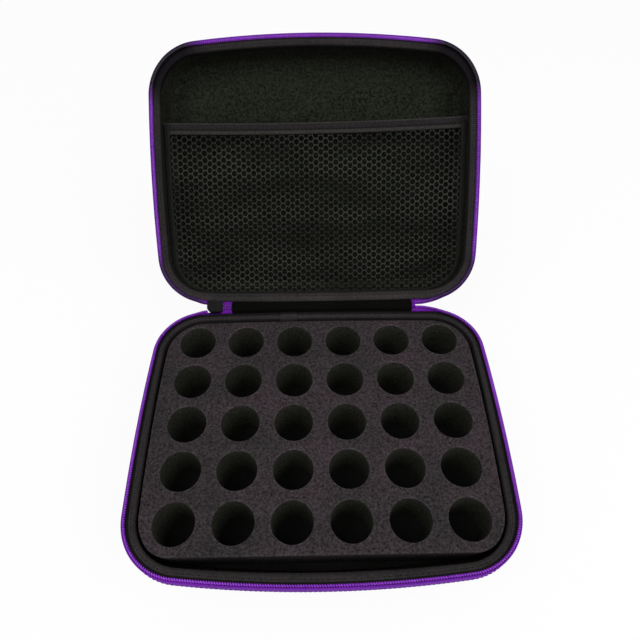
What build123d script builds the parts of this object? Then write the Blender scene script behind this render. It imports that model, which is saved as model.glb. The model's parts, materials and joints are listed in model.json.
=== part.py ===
from build123d import *
import math
import os

os.makedirs("parts", exist_ok=True)

# The case lies open on its base. Its origin is the centre of the base's flat bottom, +Z is up,
# +Y points to the hinge and +X to the right, seen from the front. All lengths are millimetres.

# Wells for the bottles, and the foam left between and around them at the top of the block.
well_diameter = 27.5
well_columns = 6
well_rows = 5
well_web_x = 10.5
well_web_y = 6.9
foam_side_wall = 10.65
foam_back_wall = 5.45
foam_front_wall = 6.5
foam_corner_radius = 20.0
foam_below_rim = 1.2
pad_thickness = 5.0

# Room between the foam block and the lined walls at its top, and where the walls draw in below.
foam_side_gap = 2.7
foam_back_gap = 1.7
foam_front_gap = 13.0
foam_seat_gap = 0.5

# Plan outline that both halves share at their rims. Each side is one large arc.
side_bow = 3.8
front_bow = 10.1
back_bow = 2.1
front_corner_radius = 40.2
back_corner_radius = 36.8

# Moulded shells: an upright band under the rim, then walls that draw in by their draft down
# to the floor, and a rounded floor edge. The base's walls get thinner on their way down.
shell_wall = 5.0
rim_band = 9.0
floor_edge_radius = 12.0
base_height = 50.0
base_draft = 8.0
base_inner_draft = 5.5
lid_height = 31.0
lid_draft = 5.0
lining_thickness = 0.8

# Edge binding, with a short overlap where its ends meet at the back.
binding_thickness = 0.9
binding_leg = 5.0
lap_thickness = 0.5
lap_length = 14.0
lap_centre = -24.0

# Zip: a tape outside each rim with a bead of coil on the inner face of its free edge.
rim_gap = 10.0
tape_thickness = 0.8
tape_below_rim = 7.0
tape_above_rim = 3.3
coil_width = 3.1
coil_height = 2.6
coil_edge_radius = 0.7
coil_meeting_gap = 0.3

# Fabric hinge at the back. Its axis lies behind the walls, halfway between the two rims.
hinge_axis_offset = 3.0
lid_open_angle = 136.0
hinge_left = -69.5
hinge_right = 75.5
flap_thickness = 0.8
flap_below_rim = 9.0
flap_to_axis = 1.6
gusset_thickness = 0.6
gusset_rise = 1.5

# Slider, closed chain and pull, drawn about the hinge axis.
slider_length = 12.5
slider_half_thickness = 2.3
slider_plate = 1.0
slider_flange = 0.8
slider_mouth_radius = 3.4
slider_tail_radius = 1.4
divider_width = 2.2
divider_length = 4.0
divider_nose_radius = 0.8
chain_length = 7.0
chain_into_slider = 1.5
chain_play = 0.2
eye_wall = 0.95
eye_thickness = 1.6
pull_pin_radius = 0.65
pull_slot_length = 3.0
pull_thickness = 1.4
pull_length = 24.0
pull_hole_width = 1.6
pull_hole_length = 7.0
pull_hole_radius = 0.6
pull_tip_radius = 1.7
pull_tip_margin = 2.0
stop_length = 2.5
stop_half_thickness = 1.3

# Mesh pocket in the lid. Its net hangs this far behind the lid's rim.
net_depth = 11.0
net_thickness = 0.6
net_strand = 1.3
net_cell_pitch = 11.4
net_column_pitch = 9.0
hem_from_back = 136.0
hem_width = 9.0
hem_thickness = 1.0
edge_tape_width = 5.0
edge_tape_thickness = 0.8

# Clearance between pieces that move past each other or are only laid together.
clearance = 0.3
# How far a cutting solid runs past what it cuts.
overrun = 20.0

# The case's plan size follows from the grid of wells and what lies round it.
lining_inset = shell_wall + lining_thickness
well_pitch_x = well_diameter + well_web_x
well_pitch_y = well_diameter + well_web_y
grid_width = well_columns * well_pitch_x - well_web_x
grid_depth = well_rows * well_pitch_y - well_web_y
before_grid = lining_inset + foam_front_gap + foam_front_wall
behind_grid = lining_inset + foam_back_gap + foam_back_wall
well_grid_shift = (before_grid - behind_grid) / 2
half_width = grid_width / 2 + foam_side_wall + foam_side_gap + lining_inset
half_depth = (before_grid + grid_depth + behind_grid) / 2
side_radius = (half_depth**2 + side_bow**2) / (2 * side_bow)
front_radius = (half_width**2 + front_bow**2) / (2 * front_bow)
back_radius = (half_width**2 + back_bow**2) / (2 * back_bow)
hem_front = half_depth - hem_from_back - hem_width
hem_back = half_depth - hem_from_back

# The slider and chain turn with the hinge, so they stay within reach of the bindings' corners.
axis_y = half_depth + hinge_axis_offset
axis_z = base_height + rim_gap / 2
slider_right = hinge_left - clearance - chain_length
slider_left = slider_right - slider_length
slider_middle = slider_right - slider_length / 2
slider_reach = math.hypot(hinge_axis_offset, rim_gap / 2 - binding_thickness) - clearance
slider_half_height = math.sqrt(slider_reach**2 - slider_half_thickness**2)
slider_slot = tape_thickness + 2 * clearance
chain_half_height = coil_height + coil_meeting_gap / 2
chain_half_thickness = slider_half_thickness - slider_plate - chain_play
stop_half_height = math.sqrt((hinge_axis_offset - clearance) ** 2 - stop_half_thickness**2)

# The pull stays narrow enough to hang between the two back walls when the case lies flat open.
pull_width = 2 * (hinge_axis_offset - flap_thickness - clearance)
pull_slot_width = eye_thickness + 2 * chain_play
eye_bore_radius = pull_pin_radius + clearance
eye_height = slider_half_thickness + pull_thickness / 2 + 2 * clearance


def block(x_low, x_high, y_low, y_high, z_low, z_high):
    """A box between two opposite corners."""
    size = Box(x_high - x_low, y_high - y_low, z_high - z_low)
    middle = ((x_low + x_high) / 2, (y_low + y_high) / 2, (z_low + z_high) / 2)
    return Pos(*middle) * size


def across_x(x_low, x_high, z_low, z_high):
    """A box over the case's back half, between two places along the hinge."""
    return block(x_low, x_high, 0, half_depth + overrun, z_low, z_high)


def corner_points(way, inset):
    """The start, middle and end of a right-hand corner arc, at the back for way 1, else the front."""
    end_radius = back_radius if way > 0 else front_radius
    radius = back_corner_radius if way > 0 else front_corner_radius
    end_centre = Vector(0, way * (half_depth - end_radius))
    side_centre = Vector(half_width - side_radius, 0)
    across = side_centre - end_centre
    from_end = end_radius - radius
    from_side = side_radius - radius
    along = (from_end**2 - from_side**2 + across.length**2) / (2 * across.length)
    aside = math.sqrt(from_end**2 - along**2)
    unit = across.normalized()
    normal = Vector(-unit.Y, unit.X)
    choices = [end_centre + unit * along + normal * aside * side for side in (1, -1)]
    centre = max(choices, key=lambda point: point.X + way * point.Y)
    to_end = (centre - end_centre).normalized()
    to_side = (centre - side_centre).normalized()
    start = end_centre + to_end * (end_radius - inset)
    middle = centre + (to_end + to_side).normalized() * (radius - inset)
    end = side_centre + to_side * (side_radius - inset)
    return start, middle, end


def flipped(point):
    """The same point on the left-hand side."""
    return Vector(-point.X, point.Y)


def outline_wire(inset):
    """The plan outline drawn in evenly by inset, or drawn out where inset is negative."""
    back_end, back_middle, back_side = corner_points(1, inset)
    front_end, front_middle, front_side = corner_points(-1, inset)
    side_middle = Vector(half_width - inset, 0)
    right = [(back_end, back_middle, back_side)]
    right.append((back_side, side_middle, front_side))
    right.append((front_side, front_middle, front_end))
    arcs = [ThreePointArc(*points) for points in right]
    arcs.append(ThreePointArc(front_end, Vector(0, inset - half_depth), flipped(front_end)))
    for start, middle, end in reversed(right):
        arcs.append(ThreePointArc(flipped(end), flipped(middle), flipped(start)))
    arcs.append(ThreePointArc(flipped(back_end), Vector(0, half_depth - inset), back_end))
    return Wire(arcs)


def outline(inset, z=0):
    """The face inside the plan outline, at height z."""
    return Pos(0, 0, z) * Face(outline_wire(inset))


def prism(inset, z_low, z_high):
    """An upright solid on the plan outline."""
    return extrude(outline(inset, z_low), z_high - z_low, dir=(0, 0, 1))


def ring(outer_inset, inner_inset, z_low, z_high):
    """An upright band between two insets of the plan outline."""
    return prism(outer_inset, z_low, z_high) - prism(inner_inset, z_low - overrun, z_high + overrun)


def wall_inset(height, draft, inset, depth):
    """How far in from the rim's outer edge a wall surface lies, at a depth under the rim."""
    return inset + draft * (depth - rim_band) / (height - rim_band)


def dish(height, draft, inset, above=0):
    """A solid dish with its rim at z = 0, drawn in by inset from the shell's outside."""
    floor = height - inset
    low_inset = wall_inset(height, draft, inset, floor)
    lower = loft([outline(inset, -rim_band), outline(low_inset, -floor)], ruled=True)
    whole = prism(inset, -rim_band, above) + lower
    floor_edges = whole.edges().group_by(Axis.Z)[0]
    return fillet(floor_edges, floor_edge_radius - inset)


def on_base(shape):
    """Moves a piece drawn with the rim at z = 0 to the base's rim."""
    return Pos(0, 0, base_height) * shape


def on_lid(shape):
    """Turns a piece drawn with the rim at z = 0 over onto the lid, and opens the lid."""
    closed = Pos(0, 0, base_height + rim_gap) * mirror(shape, Plane.XY)
    return closed.rotate(Axis((0, axis_y, axis_z), (1, 0, 0)), -lid_open_angle)


def on_hinge(shape):
    """Moves a piece drawn about the X axis, with +Y outward, to halfway between base and lid."""
    return Pos(0, axis_y, axis_z) * Rot(-lid_open_angle / 2, 0, 0) * shape


def save(name, shape):
    """Writes one piece under its own name."""
    shape.label = name
    export_step(shape, f"parts/{name}.step")


def shell(height, draft, inner_draft):
    """A moulded half, with its outside and its inside drawn in by their own drafts."""
    return dish(height, draft, 0) - dish(height, inner_draft, shell_wall, overrun)


def lining(height, draft):
    """The cloth that lines a moulded half."""
    return dish(height, draft, shell_wall) - dish(height, draft, lining_inset, overrun)


def binding():
    """Tape folded over the top of a wall and down its inside."""
    cap = prism(0, 0, binding_thickness)
    leg = prism(lining_inset, -binding_leg, binding_thickness)
    inside = prism(lining_inset + binding_thickness, -binding_leg - overrun, overrun)
    return cap + leg - inside


def binding_lap():
    """The binding's overlapping end, one layer higher and further in."""
    inner_face = lining_inset + binding_thickness
    cap = ring(0, inner_face, binding_thickness, binding_thickness + lap_thickness)
    leg = ring(inner_face, inner_face + lap_thickness, -binding_leg, binding_thickness + lap_thickness)
    low = lap_centre - lap_length / 2
    return (cap + leg) & across_x(low, low + lap_length, -binding_leg - overrun, overrun)


def zip_tape():
    """The tape outside a wall, with its upper edge left out where the slider and hinge lie."""
    band = ring(-tape_thickness, 0, -tape_below_rim, tape_above_rim)
    beside_slider = across_x(slider_left - clearance, hinge_right, 0, overrun)
    beside_hinge = across_x(hinge_left, hinge_right, -tape_below_rim - overrun, overrun)
    return band - beside_slider - beside_hinge


def zip_coil():
    """The bead of coil along the tape's free edge, up to the meeting line."""
    top = (rim_gap - coil_meeting_gap) / 2
    bead = ring(0, coil_width, top - coil_height, top)
    ends = bead.edges().group_by(Axis.Z)
    bead = fillet(ends[0] + ends[-1], coil_edge_radius)
    return bead - across_x(slider_left - clearance, hinge_right, 0, overrun)


def hinge_flap():
    """The leaf of the fabric hinge that is sewn to the outside of a back wall."""
    top = rim_gap / 2 - flap_to_axis
    band = ring(-flap_thickness, 0, -flap_below_rim, top)
    return band & across_x(hinge_left, hinge_right, -overrun, overrun)


def turned(y, z, degrees):
    """A point turned about the X axis."""
    angle = math.radians(degrees)
    return y * math.cos(angle) - z * math.sin(angle), y * math.sin(angle) + z * math.cos(angle)


def hinge_gusset():
    """The folding strip between the two flaps, an arc in section that rises into the case."""
    flap_middle = flap_thickness / 2 - hinge_axis_offset
    flap_end = clearance - flap_to_axis
    start_y, start_z = turned(flap_middle, flap_end, lid_open_angle / 2)
    half_span = -start_z
    radius = (half_span**2 + gusset_rise**2) / (2 * gusset_rise)
    half_angle = math.asin(half_span / radius)
    centre_y = start_y - gusset_rise + radius
    arcs = []
    for side in (-1, 1):
        r = radius + side * gusset_thickness / 2
        across = r * math.sin(half_angle)
        end_y = centre_y - r * math.cos(half_angle)
        arcs.append(((end_y, -across), (centre_y - r, 0), (end_y, across)))
    inner, outer = arcs
    edges = [ThreePointArc(*[(0, *point) for point in arc]) for arc in arcs]
    edges.append(Line((0, *inner[0]), (0, *outer[0])))
    edges.append(Line((0, *inner[2]), (0, *outer[2])))
    section = Pos(hinge_left, 0, 0) * Face(Wire(edges))
    return extrude(section, hinge_right - hinge_left, dir=(1, 0, 0))


def slider_outside():
    """The slider's outer form, rounded at its mouth and less at its tail."""
    whole = block(
        slider_left, slider_right,
        -slider_half_thickness, slider_half_thickness,
        -slider_half_height, slider_half_height,
    )
    whole = fillet(whole.edges().filter_by(Axis.Y).sort_by(Axis.X)[:2], slider_mouth_radius)
    return fillet(whole.edges().filter_by(Axis.Y).sort_by(Axis.X)[-2:], slider_tail_radius)


def zip_slider():
    """Two plates with edge flanges, the divider that joins them, and the eye for the pull."""
    inner_face = slider_half_thickness - slider_plate
    channel = slider_half_height - slider_flange
    hollow = block(slider_left - overrun, slider_right + overrun, -inner_face, inner_face, -channel, channel)
    slot = block(
        slider_left - overrun, slider_right + overrun,
        -slider_slot / 2, slider_slot / 2,
        -slider_half_height - overrun, slider_half_height + overrun,
    )
    divider_left = slider_left + divider_width / 2
    divider = block(
        divider_left, divider_left + divider_length,
        -inner_face, inner_face,
        -divider_width / 2, divider_width / 2,
    )
    divider = fillet(divider.edges().filter_by(Axis.Y).sort_by(Axis.X)[:2], divider_nose_radius)
    place = Pos(slider_middle, eye_height, 0)
    above_plate = block(slider_left, slider_right, inner_face, overrun, -slider_half_height, slider_half_height)
    eye = place * Cylinder(eye_bore_radius + eye_wall, eye_thickness) & above_plate
    bore = place * Cylinder(eye_bore_radius, eye_thickness + overrun)
    return slider_outside() - hollow - slot + divider + eye - bore


def zip_closed_chain():
    """The closed stretch of zip behind the slider: meshed coils on their two tapes."""
    right = hinge_left - clearance
    coils = block(
        slider_right - chain_into_slider, right,
        -chain_half_thickness, chain_half_thickness,
        -chain_half_height, chain_half_height,
    )
    coils = fillet(coils.edges().filter_by(Axis.X), coil_edge_radius)
    tapes = block(
        slider_right, right,
        -tape_thickness / 2, tape_thickness / 2,
        -slider_half_height, slider_half_height,
    )
    return coils + tapes


def zip_pull():
    """A narrow tab whose cross pin passes through the slider's eye."""
    half = pull_width / 2
    tab = block(
        -pull_thickness / 2, pull_thickness / 2,
        eye_height - pull_pin_radius, eye_height + pull_length,
        -half, half,
    )
    tip = tab.edges().filter_by(Axis.X).sort_by(Axis.Y)[-2:]
    tab = fillet(tip, pull_tip_radius)
    slot_low = eye_height - pull_pin_radius - overrun
    slot_high = eye_height + pull_pin_radius + pull_slot_length
    slot = block(-overrun, overrun, slot_low, slot_high, -pull_slot_width / 2, pull_slot_width / 2)
    hole_high = eye_height + pull_length - pull_tip_margin
    hole = block(
        -overrun, overrun,
        hole_high - pull_hole_length, hole_high,
        -pull_hole_width / 2, pull_hole_width / 2,
    )
    hole = fillet(hole.edges().filter_by(Axis.X), pull_hole_radius)
    pin = Pos(0, eye_height, 0) * Cylinder(pull_pin_radius, pull_width)
    return Pos(slider_middle, 0, 0) * (tab - slot - hole + pin)


def zip_end_stop():
    """The stop that closes the zip's right end."""
    left = hinge_right + clearance
    stop = block(
        left, left + stop_length,
        -stop_half_thickness, stop_half_thickness,
        -stop_half_height, stop_half_height,
    )
    return fillet(stop.edges().filter_by(Axis.X), coil_edge_radius)


def foam_floor_pad():
    """A thin foam pad on the flat of the base's lined floor."""
    floor = base_height - lining_inset
    floor_inset = wall_inset(base_height, base_inner_draft, lining_inset, floor)
    flat_inset = floor_inset + floor_edge_radius - lining_inset
    return prism(flat_inset, -floor, pad_thickness - floor)


def foam_wells():
    """The grid of round wells, as upright solids that run past the foam."""
    well = Cylinder(well_diameter / 2, base_height + overrun)
    places = []
    for column in range(well_columns):
        for row in range(well_rows):
            x = (column - (well_columns - 1) / 2) * well_pitch_x
            y = (row - (well_rows - 1) / 2) * well_pitch_y + well_grid_shift
            places.append(Pos(x, y, -base_height / 2))
    return [place * well for place in places]


def behind(y_low, inset):
    """The part of an inset plan outline that lies between a line across it and the hinge."""
    low = -half_depth - overrun
    cut = Pos(0, (y_low + low) / 2) * Rectangle(2 * (half_width + overrun), y_low - low)
    return (outline(inset) - cut).faces()[0]


def foam_plan():
    """The foam block's outline: the tub's, cut straight in front, with round front corners."""
    set_back = foam_side_gap - foam_back_gap
    front = lining_inset + foam_front_gap - half_depth
    whole = behind(front - set_back, lining_inset + foam_side_gap)
    front_corners = whole.vertices().sort_by(Axis.Y)[:2]
    return Pos(0, set_back) * fillet(front_corners, foam_corner_radius)


def bottle_foam(side):
    """The foam block's left half for side -1, or its right half, drawn in where the walls are."""
    low = lining_inset + pad_thickness - base_height
    upright = extrude(Pos(0, 0, low) * foam_plan(), -foam_below_rim - low, dir=(0, 0, 1))
    far_x = -side * (half_width + overrun)
    reach_y = half_depth + overrun
    other_half = block(min(0, far_x), max(0, far_x), -reach_y, reach_y, low - overrun, overrun)
    foam = upright & dish(base_height, base_inner_draft, lining_inset + foam_seat_gap)
    foam = foam - other_half
    for well in foam_wells():
        foam = foam - well
    return foam


def pocket_hem():
    """The elastic band along the pocket's mouth, from wall to wall."""
    inside = dish(lid_height, lid_draft, lining_inset)
    reach_x = half_width + overrun
    band = block(-reach_x, reach_x, hem_front, hem_back, -net_depth, hem_thickness - net_depth)
    return inside & band


def pocket_edge_tape():
    """The tape that sews the net to the lining, along the pocket's sides and its hinge edge."""
    depth_low = net_depth + net_thickness
    depth_high = depth_low + edge_tape_thickness
    reach_x = half_width + overrun
    band = block(-reach_x, reach_x, hem_front, half_depth + overrun, -depth_high, -depth_low)
    inner = prism(lining_inset + edge_tape_width, -lid_height, overrun)
    return (dish(lid_height, lid_draft, lining_inset) & band) - inner


def net_cells(border):
    """The outlines of the net's six-sided gaps that lie wholly inside its border."""
    half_wide = net_column_pitch * 2 / 3 - net_strand / math.sqrt(3)
    half_high = (net_cell_pitch - net_strand) / 2
    columns = math.ceil(half_width / net_column_pitch)
    rows = math.ceil(half_depth / net_cell_pitch)
    cell_shares = [(1, 0), (0.5, 1), (-0.5, 1), (-1, 0), (-0.5, -1), (0.5, -1)]
    cells = []
    for column in range(-columns, columns + 1):
        for row in range(-rows, rows + 1):
            x = column * net_column_pitch
            y = (row + (column % 2) / 2) * net_cell_pitch
            points = [Vector(x + half_wide * wide, y + half_high * high) for wide, high in cell_shares]
            if all(border.is_inside(point) for point in points):
                cells.append(Wire.make_polygon(points, close=True))
    return cells


def pocket_net():
    """The mesh pocket: one flat face full of six-sided gaps, given its thickness."""
    net_inset = wall_inset(lid_height, lid_draft, lining_inset, net_depth + net_thickness)
    whole = behind(hem_front, net_inset)
    cells = net_cells(behind(hem_back, net_inset + edge_tape_width))
    print("net gaps:", len(cells))
    net = Face(whole.outer_wire(), cells)
    return Pos(0, 0, -net_depth) * extrude(net, net_thickness, dir=(0, 0, -1))


save("base_shell", on_base(shell(base_height, base_draft, base_inner_draft)))
save("base_lining", on_base(lining(base_height, base_inner_draft)))
save("base_binding", on_base(binding()))
save("base_binding_lap", on_base(binding_lap()))
save("base_zip_tape", on_base(zip_tape()))
save("base_zip_coil", on_base(zip_coil()))
save("hinge_flap_base", on_base(hinge_flap()))
save("foam_floor_pad", on_base(foam_floor_pad()))
save("bottle_foam_left", on_base(bottle_foam(-1)))
save("bottle_foam_right", on_base(bottle_foam(1)))

save("lid_shell", on_lid(shell(lid_height, lid_draft, lid_draft)))
save("lid_lining", on_lid(lining(lid_height, lid_draft)))
save("lid_binding", on_lid(binding()))
save("lid_binding_lap", on_lid(binding_lap()))
save("lid_zip_tape", on_lid(zip_tape()))
save("lid_zip_coil", on_lid(zip_coil()))
save("hinge_flap_lid", on_lid(hinge_flap()))
save("pocket_net", on_lid(pocket_net()))
save("pocket_hem", on_lid(pocket_hem()))
save("pocket_edge_tape", on_lid(pocket_edge_tape()))

save("hinge_gusset", on_hinge(hinge_gusset()))
save("zip_slider", on_hinge(zip_slider()))
save("zip_closed_chain", on_hinge(zip_closed_chain()))
save("zip_pull", on_hinge(zip_pull()))
save("zip_end_stop", on_hinge(zip_end_stop()))
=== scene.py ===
import json
import math

import bmesh
import bpy
import numpy as np
from mathutils import Matrix, Vector, noise
from mathutils.geometry import tessellate_polygon


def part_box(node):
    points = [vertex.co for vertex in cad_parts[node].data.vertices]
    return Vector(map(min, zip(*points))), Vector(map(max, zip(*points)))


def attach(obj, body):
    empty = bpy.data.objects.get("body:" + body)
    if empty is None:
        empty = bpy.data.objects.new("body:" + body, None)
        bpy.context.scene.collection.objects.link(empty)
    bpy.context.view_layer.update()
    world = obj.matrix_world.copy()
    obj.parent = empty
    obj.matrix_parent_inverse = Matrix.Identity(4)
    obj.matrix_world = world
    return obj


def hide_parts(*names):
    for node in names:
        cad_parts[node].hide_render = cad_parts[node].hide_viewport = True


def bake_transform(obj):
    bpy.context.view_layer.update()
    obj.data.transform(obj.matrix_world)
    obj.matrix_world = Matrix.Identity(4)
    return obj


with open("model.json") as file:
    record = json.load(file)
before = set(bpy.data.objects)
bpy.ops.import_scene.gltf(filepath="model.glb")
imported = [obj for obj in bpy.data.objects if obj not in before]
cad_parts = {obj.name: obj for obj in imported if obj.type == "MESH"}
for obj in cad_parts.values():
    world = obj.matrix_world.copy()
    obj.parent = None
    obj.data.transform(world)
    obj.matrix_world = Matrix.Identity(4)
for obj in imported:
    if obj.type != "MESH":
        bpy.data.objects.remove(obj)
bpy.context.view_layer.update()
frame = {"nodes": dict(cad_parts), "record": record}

# Lengths are millimetres, and MM turns them into metres where a mesh or the camera is made. Only
# the floor and the lamps are given in metres. A half's own frame has its rim at z = 0 and its
# inside below that.
MM = 0.001
HALVES = ("base", "lid")


def cad_corners(node):
    """A CAD node's low and high corners, in millimetres."""
    return [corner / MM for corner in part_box(node)]


# Sizes read from the frame.
half_width, half_depth, base_rim = cad_corners("base_shell")[1]
foam_low, foam_high = cad_corners("bottle_foam_right")
pad_low, pad_high = cad_corners("foam_floor_pad")
flap_low, flap_high = cad_corners("hinge_flap_base")
slider_low, slider_high = cad_corners("zip_slider")
lap_low, lap_high = cad_corners("base_binding_lap")
hinge_left = flap_low.x
hinge_right = flap_high.x
chain_left = cad_corners("zip_closed_chain")[0].x
hinge = next(joint for joint in frame["record"]["behaviour"]["joints"] if joint["name"] == "lid_hinge")
axis_y = hinge["pos_m"][1] / MM
axis_z = hinge["pos_m"][2] / MM
open_angle = math.radians(max(hinge["range_deg"]))
rim_gap = 2 * (axis_z - base_rim)

# Plan outline, as arcs that meet smoothly.
side_bow = 3.8
front_bow = 10.1
back_bow = 2.1
front_corner_radius = 40.2
back_corner_radius = 36.8

# Walls and lining. The lining's map has its floor far from its walls, by the floor shift.
rim_band = 9.0
base_inner_draft = 5.5
lid_height = 31.0
lid_draft = 5.0
lining_inset = 5.8
lining_cloth = 0.5
lining_ripple = 0.12
lining_dip = 0.25
floor_edge_radius = 12.0
lining_floor_shift = 400.0

# Foam block.
well_diameter = 27.5
well_columns = 6
well_rows = 5
well_pitch_x = 38.0
well_pitch_y = 34.4
foam_side_inset = 8.5
foam_seat_gap = 0.5
foam_corner_radius = 20.0
foam_edge_radius = 0.9
foam_back_wall = 5.45

# Zip. Its free edges draw together beside the slider and at the far end.
tape_below_rim = 7.0
tape_above_rim = 3.3
tape_inner_reach = tape_below_rim + tape_above_rim + 0.7
tape_cloth = 0.5
coil_widths = {"base": 1.9, "lid": 2.7}
coil_height = 2.6
coil_top = 4.85
coil_pitch = 1.6
coil_thread = 0.46
chain_width = 3.1
chain_height = 2.4
slider_clearance = 0.3
slider_draw = 1.5
slider_draw_length = 11.0
end_draw = 3.3
end_run = 6.0
end_draw_length = 22.0

# Pocket.
net_depth = 11.0
net_cell_pitch = 5.3
net_column_pitch = 3.9
net_thread = 0.68
net_thickness = 0.45
hem_from_back = 136.0
hem_width = 9.0
hem_stitch_line = 3.9
hem_stitch_pitch = 3.4
hem_lift = 0.5
hem_ripple = 0.35
net_drop = 0.3
edge_tape_width = 5.0
edge_tape_rise = 1.3


# Outline and frames.


def corner_arc(way):
    """The right-hand corner's arc, at the back for way 1 and in front for -1, and its neighbours.

    Gives its centre, radius and two end angles, then the centres and radii of the end and the side.
    """
    bow = back_bow if way > 0 else front_bow
    radius = back_corner_radius if way > 0 else front_corner_radius
    end_radius = (half_width**2 + bow**2) / (2 * bow)
    side_radius = (half_depth**2 + side_bow**2) / (2 * side_bow)
    end_centre = Vector((0, way * (half_depth - end_radius)))
    side_centre = Vector((half_width - side_radius, 0))
    across = side_centre - end_centre
    from_end = end_radius - radius
    from_side = side_radius - radius
    along = (from_end**2 - from_side**2 + across.length_squared) / (2 * across.length)
    aside = math.sqrt(from_end**2 - along**2)
    unit = across.normalized()
    normal = Vector((-unit.y, unit.x))
    choices = [end_centre + unit * along + normal * aside * side for side in (1, -1)]
    centre = max(choices, key=lambda point: point.x + way * point.y)
    end_angle = math.atan2(*(centre - end_centre).yx)
    side_angle = math.atan2(*(centre - side_centre).yx)
    return centre, radius, end_angle, side_angle, end_centre, end_radius, side_centre, side_radius


def outline_arcs():
    """The plan outline's arcs, clockwise from the middle of the back: centre, radius, angles."""
    back = corner_arc(1)
    front = corner_arc(-1)
    right = [(back[4], back[5], math.pi / 2, back[2])]
    right.append((back[0], back[1], back[2], back[3]))
    right.append((back[6], back[7], back[3], front[3]))
    right.append((front[0], front[1], front[3], front[2]))
    right.append((front[4], front[5], front[2], -math.pi / 2))
    arcs = list(right)
    for centre, radius, start, end in reversed(right):
        arcs.append((Vector((-centre.x, centre.y)), radius, -math.pi - end, -math.pi - start))
    return arcs


ARCS = outline_arcs()
ARC_LENGTHS = [radius * abs(end - start) for centre, radius, start, end in ARCS]
ARC_STARTS = np.concatenate([[0], np.cumsum(ARC_LENGTHS)])
OUTLINE_LENGTH = float(ARC_STARTS[-1])


def along_outline(distances):
    """Points of the outline at these distances along it, and its outward directions there."""
    points = []
    outward = []
    for distance in np.asarray(distances, float) % OUTLINE_LENGTH:
        index = min(int(np.searchsorted(ARC_STARTS, distance, side="right")) - 1, len(ARCS) - 1)
        centre, radius, start, end = ARCS[index]
        angle = start + (end - start) * (distance - ARC_STARTS[index]) / ARC_LENGTHS[index]
        direction = (math.cos(angle), math.sin(angle))
        points.append((centre.x + radius * direction[0], centre.y + radius * direction[1]))
        outward.append(direction)
    return np.array(points), np.array(outward)


def distance_at_x(x):
    """How far along the outline its back edge passes x, from the middle of the back."""
    centre, radius, start, end = ARCS[0]
    before = 0.0
    if abs(x) > centre.x + radius * math.cos(end):
        centre, radius, start, end = ARCS[1]
        before = ARC_LENGTHS[0]
    distance = before + radius * (start - math.acos((abs(x) - centre.x) / radius))
    return distance if x >= 0 else -distance


# Where along the outline the zip runs: from the hinge's right end to the slider. The tape goes
# on behind the slider to the hinge's left end.
zip_start = distance_at_x(hinge_right)
zip_end = OUTLINE_LENGTH + distance_at_x(slider_low.x - slider_clearance)
tape_end = OUTLINE_LENGTH + distance_at_x(hinge_left)


def wall_inset(height, draft, inset, depth):
    """How far in a wall surface lies, at a depth under the rim."""
    return inset + draft * np.maximum(depth - rim_band, 0) / (height - rim_band)


def on_base(points):
    """Moves points of the base's own frame to the row frame."""
    return np.asarray(points, float) + [0, 0, base_rim]


def turn_about_axis(points, angle):
    """Turns points about the hinge's axis."""
    y = points[:, 1] - axis_y
    z = points[:, 2] - axis_z
    turned_y = axis_y + y * math.cos(angle) - z * math.sin(angle)
    turned_z = axis_z + y * math.sin(angle) + z * math.cos(angle)
    return np.column_stack([points[:, 0], turned_y, turned_z])


def on_lid(points):
    """Turns points of the lid's own frame over onto the open lid."""
    points = np.asarray(points, float)
    closed = np.column_stack([points[:, 0], points[:, 1], base_rim + rim_gap - points[:, 2]])
    return turn_about_axis(closed, -open_angle)


def on_hinge(points):
    """Moves points drawn about the X axis, with +Y outward, to halfway between base and lid."""
    points = np.asarray(points, float) + [0, axis_y, axis_z]
    return turn_about_axis(points, -open_angle / 2)


PLACES = {"base": on_base, "lid": on_lid, "hinge": on_hinge}


# Meshes.


def piece(name, points, faces, material, uv=None):
    """Makes a smooth mesh object from points in millimetres."""
    mesh = bpy.data.meshes.new(name)
    mesh.from_pydata((np.asarray(points) * MM).tolist(), [], faces)
    if uv is not None:
        layer = mesh.uv_layers.new(name="cloth")
        vertex = np.zeros(len(mesh.loops), int)
        mesh.loops.foreach_get("vertex_index", vertex)
        layer.data.foreach_set("uv", (np.asarray(uv, float)[vertex] * MM).ravel())
    made = bmesh.new()
    made.from_mesh(mesh)
    bmesh.ops.recalc_face_normals(made, faces=made.faces)
    made.to_mesh(mesh)
    made.free()
    mesh.polygons.foreach_set("use_smooth", [True] * len(mesh.polygons))
    mesh.materials.append(material)
    obj = bpy.data.objects.new(name, mesh)
    bpy.context.scene.collection.objects.link(obj)
    return obj


def seat(obj, body, slot, *nodes):
    """Rides the piece on its body and hides the solids it stands for. The slot is not used."""
    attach(obj, body)
    if nodes:
        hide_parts(*nodes)
    return obj


def thicken(obj, thickness):
    """Gives a surface its thickness, half on each side."""
    solid = obj.modifiers.new("thickness", "SOLIDIFY")
    solid.thickness = thickness * MM
    solid.offset = 0


def grid_faces(rows, columns, close_rows=False, close_columns=False, first=0):
    """The quads between rows of points that lie one after another, from the first point on."""
    faces = []
    for row in range(rows if close_rows else rows - 1):
        start = first + row * columns
        after = first + (row + 1) % rows * columns
        for column in range(columns if close_columns else columns - 1):
            beside = (column + 1) % columns
            faces.append((start + column, start + beside, after + beside, after + column))
    return faces


def ring_faces(rings, count, first=0, capped=True):
    """The faces round rings of points, with one more at each end where they are capped."""
    faces = grid_faces(rings, count, False, True, first)
    if capped:
        faces += [tuple(range(start, start + count)) for start in (first, first + (rings - 1) * count)]
    return faces


def line_lengths(line):
    """How far along a line of points each of them lies."""
    steps = np.linalg.norm(np.diff(np.asarray(line, float), axis=0), axis=1)
    return np.concatenate([[0], np.cumsum(steps)])


def along_line(line, lengths, where):
    """Values that a line of them takes between its points, at these lengths along it."""
    return np.column_stack([np.interp(where, lengths, values) for values in np.asarray(line).T])


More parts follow.
